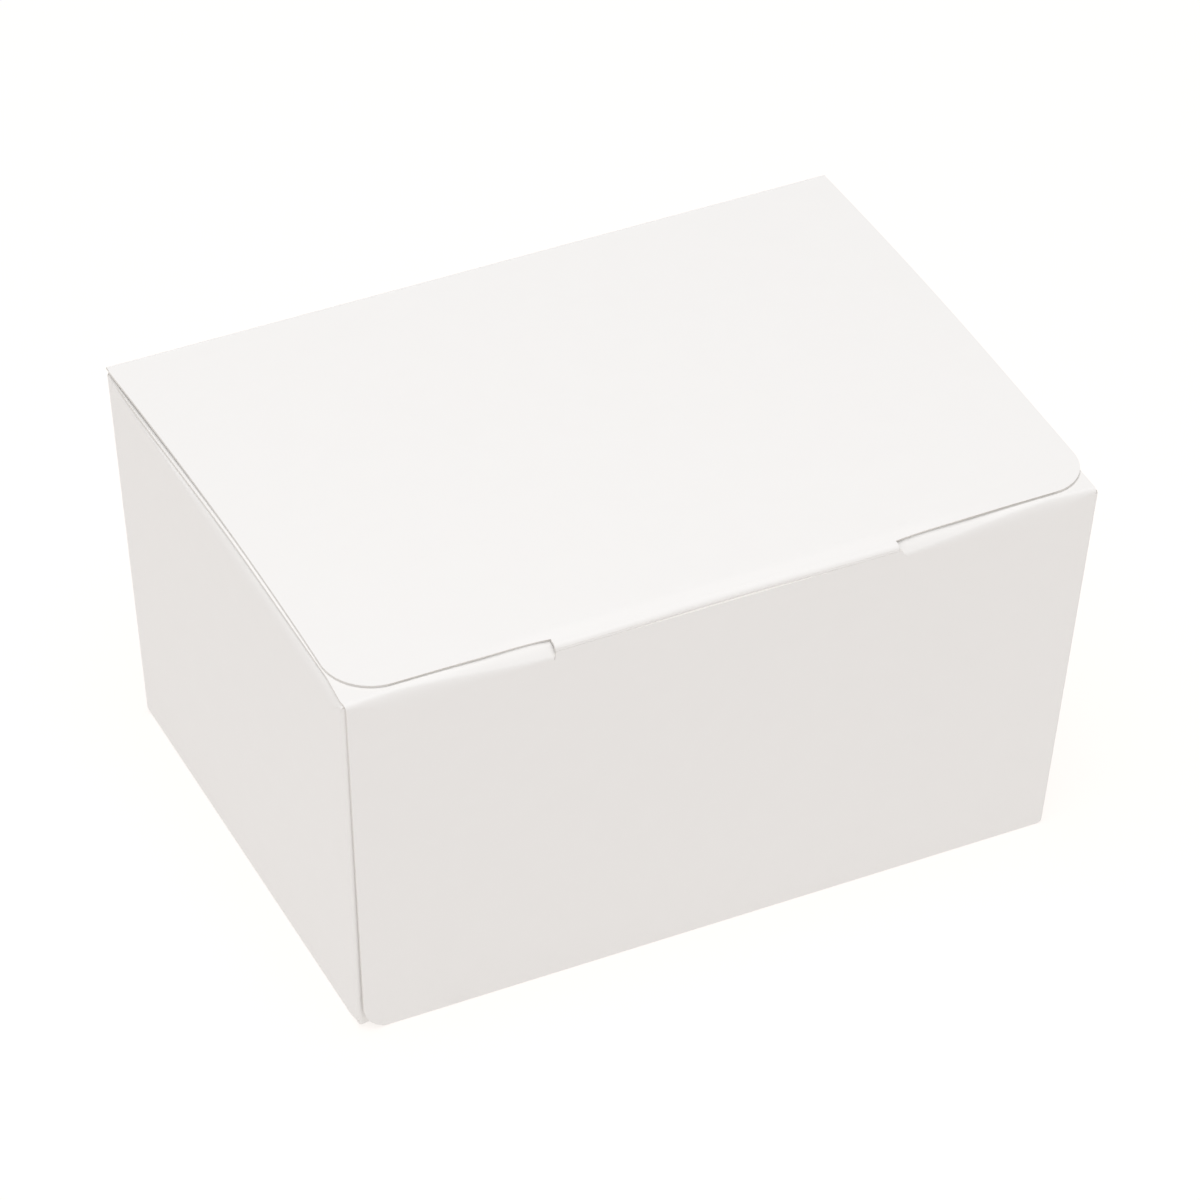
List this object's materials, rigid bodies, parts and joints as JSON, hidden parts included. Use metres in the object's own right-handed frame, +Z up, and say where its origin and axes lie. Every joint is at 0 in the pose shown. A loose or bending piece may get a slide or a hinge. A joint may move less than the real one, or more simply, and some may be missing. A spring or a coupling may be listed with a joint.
{
  "type": "candy box",
  "caption": "Folding carton for sweets with tapered walls, a full-depth front flap and a hinged lid whose tongue tucks into a slit.",
  "frame": {"origin": "middle of the base, on the surface that the box stands on", "axes": "+X along the front towards the right end wall, +Y to the rear wall and the lid's hinge, +Z up"},
  "size_m": [0.1412, 0.1004, 0.0765],
  "materials": {
    "white_board": "smooth matt white folding boxboard"
  },
  "bodies": {
    "carton": {"carton": "white_board"},
    "lid": {"lid": "white_board"}
  },
  "joints": [
    {"name": "lid_hinge", "type": "hinge", "parent": "carton", "child": "lid", "pos_m": [0, 0.05003, 0.07627], "axis": [-1, 0, 0], "range_deg": [0, 180]}
  ]
}
